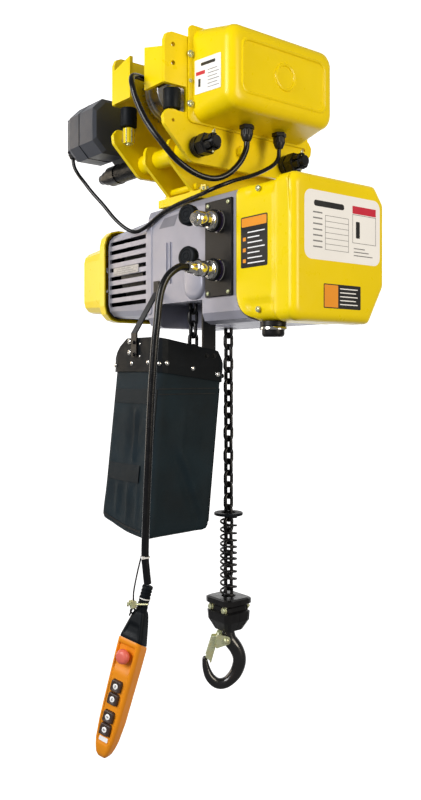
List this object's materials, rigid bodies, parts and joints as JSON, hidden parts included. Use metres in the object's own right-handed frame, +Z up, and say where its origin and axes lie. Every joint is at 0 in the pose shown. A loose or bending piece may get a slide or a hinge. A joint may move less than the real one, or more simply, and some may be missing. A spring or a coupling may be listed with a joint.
{
  "type": "electric chain hoist",
  "caption": "Electric chain hoist on a motorised beam trolley, with sprung limit stop, swivel hook with latch, cloth chain bag, cables and a hanging push-button pendant.",
  "frame": {"origin": "on the running surface of the beam's lower flange, straight above the load chain", "axes": "+Z up, +X along the hoist motor from the fan towards the control cover, +Y along the beam away from the pendant"},
  "size_m": [0.661, 0.4512, 1.1661],
  "materials": {
    "paint_yellow": "glossy powder coat",
    "cast_grey": "cast, lightly textured paint",
    "motor_slate": "satin",
    "black_oxide": "black oxide, oiled",
    "black_plastic": "satin",
    "black_rubber": "matt",
    "nickel": "bright nickel",
    "zinc_yellow": "yellow zinc plate",
    "bright_steel": "machined",
    "laminated_steel": "varnished laminations",
    "bag_cloth": "woven canvas",
    "pendant_orange": "satin moulded",
    "stop_red": "gloss"
  },
  "bodies": {
    "trolley_and_hoist": {"side_plate_near": "paint_yellow", "side_plate_far": "paint_yellow", "trolley_control_box": "paint_yellow", "suspension_frame": "paint_yellow", "control_cover": "paint_yellow", "fan_cover": "paint_yellow", "gear_casing": "cast_grey", "motor_casing": "cast_grey", "trolley_motor": "motor_slate", "cross_shaft_front": "black_oxide", "cross_shaft_rear": "black_oxide", "castle_nut_front": "black_oxide", "castle_nut_rear": "black_oxide", "gland_limit_switch": "black_plastic", "gland_motor_lead": "black_plastic", "trolley_limit_switch": "black_plastic", "connector_plate": "black_plastic", "load_limiter_cap": "black_plastic", "bag_bracket": "black_plastic", "bag_strap": "black_plastic", "bag_collar": "black_rubber", "pendant_boot": "black_rubber", "pendant_cable": "black_rubber", "limit_switch_cable": "black_rubber", "trolley_motor_cable": "black_rubber", "connector_upper": "nickel", "connector_lower": "nickel", "chain_guide": "bright_steel", "strain_wire": "bright_steel", "motor_stator": "laminated_steel", "chain_bag": "bag_cloth", "pendant_body": "pendant_orange"},
    "hook_block": {"load_chain": "black_oxide", "hook_block_front": "black_oxide", "hook_block_rear": "black_oxide", "stop_spring": "black_oxide"},
    "wheel_near_front": {"wheel_near_front": "bright_steel"},
    "wheel_near_rear": {"wheel_near_rear": "bright_steel"},
    "wheel_far_front": {"wheel_far_front": "bright_steel"},
    "wheel_far_rear": {"wheel_far_rear": "bright_steel"},
    "guide_roller_near_front": {"guide_roller_near_front": "black_rubber"},
    "guide_roller_near_rear": {"guide_roller_near_rear": "black_rubber"},
    "guide_roller_far_front": {"guide_roller_far_front": "black_rubber"},
    "guide_roller_far_rear": {"guide_roller_far_rear": "black_rubber"},
    "trolley_drive_pinion": {"trolley_drive_pinion": "bright_steel"},
    "motor_rotor": {"motor_rotor": "bright_steel"},
    "load_sheave": {"load_sheave": "bright_steel"},
    "pinion_shaft": {"pinion_shaft": "bright_steel"},
    "slack_chain": {"slack_chain": "black_oxide"},
    "stop_disc": {"stop_disc": "black_rubber"},
    "swivel_hook": {"swivel_hook": "black_oxide"},
    "safety_latch": {"safety_latch": "zinc_yellow"},
    "stop_button": {"stop_button": "stop_red"},
    "button_up": {"button_up": "black_plastic"},
    "button_down": {"button_down": "black_plastic"},
    "button_east": {"button_east": "black_plastic"},
    "button_west": {"button_west": "black_plastic"},
    "dust_cap_upper": {"dust_cap_upper": "black_rubber"},
    "dust_cap_lower": {"dust_cap_lower": "black_rubber"}
  },
  "joints": [
    {"name": "near_front_wheel_turn", "type": "hinge", "parent": "trolley_and_hoist", "child": "wheel_near_front", "pos_m": [0.06, -0.0965, 0.045], "axis": [1, 0, 0], "continuous": true},
    {"name": "near_front_guide_roller_turn", "type": "hinge", "parent": "trolley_and_hoist", "child": "guide_roller_near_front", "pos_m": [0.065, -0.175, 0], "axis": [0, 0, 1], "continuous": true},
    {"name": "near_rear_wheel_turn", "type": "hinge", "parent": "trolley_and_hoist", "child": "wheel_near_rear", "pos_m": [0.06, 0.0285, 0.045], "axis": [1, 0, 0], "continuous": true},
    {"name": "near_rear_guide_roller_turn", "type": "hinge", "parent": "trolley_and_hoist", "child": "guide_roller_near_rear", "pos_m": [0.065, 0.107, 0], "axis": [0, 0, 1], "continuous": true},
    {"name": "far_front_wheel_turn", "type": "hinge", "parent": "trolley_and_hoist", "child": "wheel_far_front", "pos_m": [-0.06, -0.0965, 0.045], "axis": [1, 0, 0], "continuous": true},
    {"name": "far_front_guide_roller_turn", "type": "hinge", "parent": "trolley_and_hoist", "child": "guide_roller_far_front", "pos_m": [-0.065, -0.175, 0], "axis": [0, 0, 1], "continuous": true},
    {"name": "far_rear_wheel_turn", "type": "hinge", "parent": "trolley_and_hoist", "child": "wheel_far_rear", "pos_m": [-0.06, 0.0285, 0.045], "axis": [1, 0, 0], "continuous": true},
    {"name": "far_rear_guide_roller_turn", "type": "hinge", "parent": "trolley_and_hoist", "child": "guide_roller_far_rear", "pos_m": [-0.065, 0.107, 0], "axis": [0, 0, 1], "continuous": true},
    {"name": "drive_pinion_turn", "type": "hinge", "parent": "trolley_and_hoist", "child": "trolley_drive_pinion", "pos_m": [-0.062, -0.034, 0.045], "axis": [1, 0, 0], "continuous": true},
    {"name": "rotor_turn", "type": "hinge", "parent": "trolley_and_hoist", "child": "motor_rotor", "pos_m": [-0.157, -0.0407, -0.268], "axis": [1, 0, 0], "continuous": true},
    {"name": "hook_lift", "type": "slide", "parent": "trolley_and_hoist", "child": "hook_block", "axis": [0, 0, 1], "range_m": [-0.065, 0.07]},
    {"name": "slack_feed", "type": "slide", "parent": "trolley_and_hoist", "child": "slack_chain", "axis": [0, 0, 1], "range_m": [-0.075, 0.07]},
    {"name": "sheave_turn", "type": "hinge", "parent": "trolley_and_hoist", "child": "load_sheave", "pos_m": [0, -0.0407, -0.268], "axis": [1, 0, 0], "range_deg": [-125, 125]},
    {"name": "pinion_shaft_turn", "type": "hinge", "parent": "trolley_and_hoist", "child": "pinion_shaft", "pos_m": [0.06, -0.0407, -0.213], "axis": [1, 0, 0], "range_deg": [-340, 340]},
    {"name": "stop_disc_press", "type": "slide", "parent": "hook_block", "child": "stop_disc", "axis": [0, 0, -1], "range_m": [0, 0.06], "stiffness_N_per_m": 200, "springref_m": -0.005, "deforming": ["stop_spring"]},
    {"name": "hook_swivel", "type": "hinge", "parent": "hook_block", "child": "swivel_hook", "pos_m": [0, 0, -0.9], "axis": [0, 0, 1], "continuous": true},
    {"name": "latch_hinge", "type": "hinge", "parent": "swivel_hook", "child": "safety_latch", "pos_m": [-0.00249, -0.00313, -0.943], "axis": [-0.7826, 0.6225, 0], "range_deg": [-32, 0], "stiffness_Nm_per_rad": 0.1, "springref_deg": 17.19},
    {"name": "stop_button_press", "type": "slide", "parent": "trolley_and_hoist", "child": "stop_button", "axis": [-0.3972, 0.9097, -0.1211], "range_m": [0, 0.0035]},
    {"name": "button_up_press", "type": "slide", "parent": "trolley_and_hoist", "child": "button_up", "axis": [-0.3972, 0.9097, -0.1211], "range_m": [0, 0.003], "stiffness_N_per_m": 200, "springref_m": -0.002},
    {"name": "button_down_press", "type": "slide", "parent": "trolley_and_hoist", "child": "button_down", "axis": [-0.3972, 0.9097, -0.1211], "range_m": [0, 0.003], "stiffness_N_per_m": 200, "springref_m": -0.002},
    {"name": "button_east_press", "type": "slide", "parent": "trolley_and_hoist", "child": "button_east", "axis": [-0.3972, 0.9097, -0.1211], "range_m": [0, 0.003], "stiffness_N_per_m": 200, "springref_m": -0.002},
    {"name": "button_west_press", "type": "slide", "parent": "trolley_and_hoist", "child": "button_west", "axis": [-0.3972, 0.9097, -0.1211], "range_m": [0, 0.003], "stiffness_N_per_m": 200, "springref_m": -0.002},
    {"name": "upper_cap_swing", "type": "hinge", "parent": "trolley_and_hoist", "child": "dust_cap_upper", "pos_m": [0.126, -0.138, -0.211], "axis": [0, 1, 0], "range_deg": [-40, 40]},
    {"name": "lower_cap_swing", "type": "hinge", "parent": "trolley_and_hoist", "child": "dust_cap_lower", "pos_m": [0.126, -0.138, -0.29], "axis": [0, 1, 0], "range_deg": [-40, 40]}
  ],
  "couplings": [
    {"joint": "far_rear_wheel_turn", "follows": "far_front_wheel_turn", "ratio": 1},
    {"joint": "drive_pinion_turn", "follows": "far_front_wheel_turn", "ratio": -3},
    {"joint": "slack_feed", "follows": "hook_lift", "ratio": -1},
    {"joint": "sheave_turn", "follows": "hook_lift", "rad_per_m": 24.57},
    {"joint": "pinion_shaft_turn", "follows": "hook_lift", "rad_per_m": -73.71}
  ]
}
